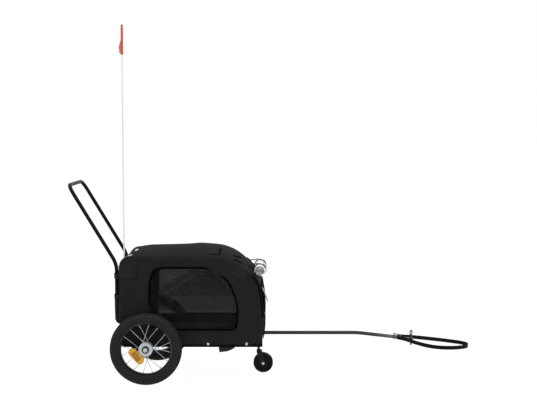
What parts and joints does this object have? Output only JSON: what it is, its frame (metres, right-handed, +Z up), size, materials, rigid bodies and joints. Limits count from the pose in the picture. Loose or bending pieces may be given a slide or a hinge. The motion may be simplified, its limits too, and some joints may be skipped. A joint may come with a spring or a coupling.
{
  "type": "dog bike trailer",
  "caption": "Dog bike trailer: fabric cabin with mesh windows on a tube frame, spoked wheels, front swivel caster, push handle, flag on a pole, and a bent drawbar with a safety strap.",
  "frame": {"origin": "on the ground, at the middle of the length and width of everything but the safety strap", "axes": "+X forward along the drawbar, +Y to the left of the trailer, +Z up"},
  "size_m": [1.7386, 0.5356, 1.511],
  "materials": {
    "black_tube": "satin",
    "grey_tube": "satin",
    "roof_fabric": "matte",
    "body_fabric": "matte",
    "mesh": "matte",
    "webbing": "matte",
    "clear_cover": "gloss",
    "floor_ply": "matte",
    "mat_fabric": "matte",
    "white_rod": "gloss",
    "flag_fabric": "matte",
    "black_plastic": "matte",
    "steel": "brushed",
    "spring_wire": "satin",
    "tyre": "matte",
    "caster_rubber": "matte",
    "black_rim": "gloss",
    "fork_metal": "satin",
    "amber": "gloss"
  },
  "bodies": {
    "trailer": {"left_side_hoop": "black_tube", "right_side_hoop": "black_tube", "left_bottom_rail": "black_tube", "right_bottom_rail": "black_tube", "front_cross_tube": "black_tube", "middle_cross_tube": "black_tube", "rear_cross_tube": "black_tube", "top_rear_crossbar": "black_tube", "top_front_crossbar": "black_tube", "roof_panel": "roof_fabric", "roof_bow": "spring_wire", "left_side_panel": "body_fabric", "right_side_panel": "body_fabric", "left_window_mesh": "mesh", "right_window_mesh": "mesh", "left_handle_clamps": "black_plastic", "right_handle_clamps": "black_plastic", "rear_panel": "body_fabric", "front_panel": "body_fabric", "rain_cover_roll": "clear_cover", "roll_straps": "webbing", "floor_board": "floor_ply", "floor_mat": "mat_fabric", "rear_pocket": "body_fabric", "push_handle": "black_tube", "flag_pole": "white_rod", "flag_sleeve": "body_fabric", "flag": "flag_fabric", "drawbar": "grey_tube", "drawbar_rear_bracket": "black_plastic", "drawbar_front_bracket": "black_plastic", "hitch_tongue": "steel", "hitch_pin": "steel", "pin_lanyard": "webbing", "strap_band": "webbing", "safety_strap": "webbing", "storage_strap": "webbing", "axle_tube": "steel", "left_stub_axle": "steel", "right_stub_axle": "steel", "caster_head_tube": "black_tube"},
    "left_wheel": {"left_wheel_rim": "black_rim", "left_wheel_tyre": "tyre", "left_wheel_hub": "steel", "left_wheel_spokes": "steel", "left_wheel_reflector": "amber"},
    "right_wheel": {"right_wheel_rim": "black_rim", "right_wheel_tyre": "tyre", "right_wheel_hub": "steel", "right_wheel_spokes": "steel", "right_wheel_reflector": "amber"},
    "caster_fork": {"caster_fork": "fork_metal", "caster_bolt": "steel"},
    "caster_wheel": {"caster_tyre": "caster_rubber", "caster_hub": "black_plastic"},
    "front_door": {"front_door": "body_fabric", "front_door_mesh": "mesh"}
  },
  "joints": [
    {"name": "left_wheel_spin", "type": "hinge", "parent": "trailer", "child": "left_wheel", "pos_m": [-0.41464, 0.2375, 0.1525], "axis": [0, 1, 0], "continuous": true},
    {"name": "right_wheel_spin", "type": "hinge", "parent": "trailer", "child": "right_wheel", "pos_m": [-0.41464, -0.2375, 0.1525], "axis": [0, 1, 0], "continuous": true},
    {"name": "caster_swivel", "type": "hinge", "parent": "trailer", "child": "caster_fork", "pos_m": [0.05886, 0, 0.0915], "axis": [0, 0, 1], "continuous": true},
    {"name": "caster_wheel_spin", "type": "hinge", "parent": "caster_fork", "child": "caster_wheel", "pos_m": [0.07886, 0, 0.04325], "axis": [0, 1, 0], "continuous": true},
    {"name": "front_door_swing", "type": "hinge", "parent": "trailer", "child": "front_door", "pos_m": [0.06915, 0, 0.41], "axis": [0, -1, 0], "range_deg": [0, 85]}
  ]
}
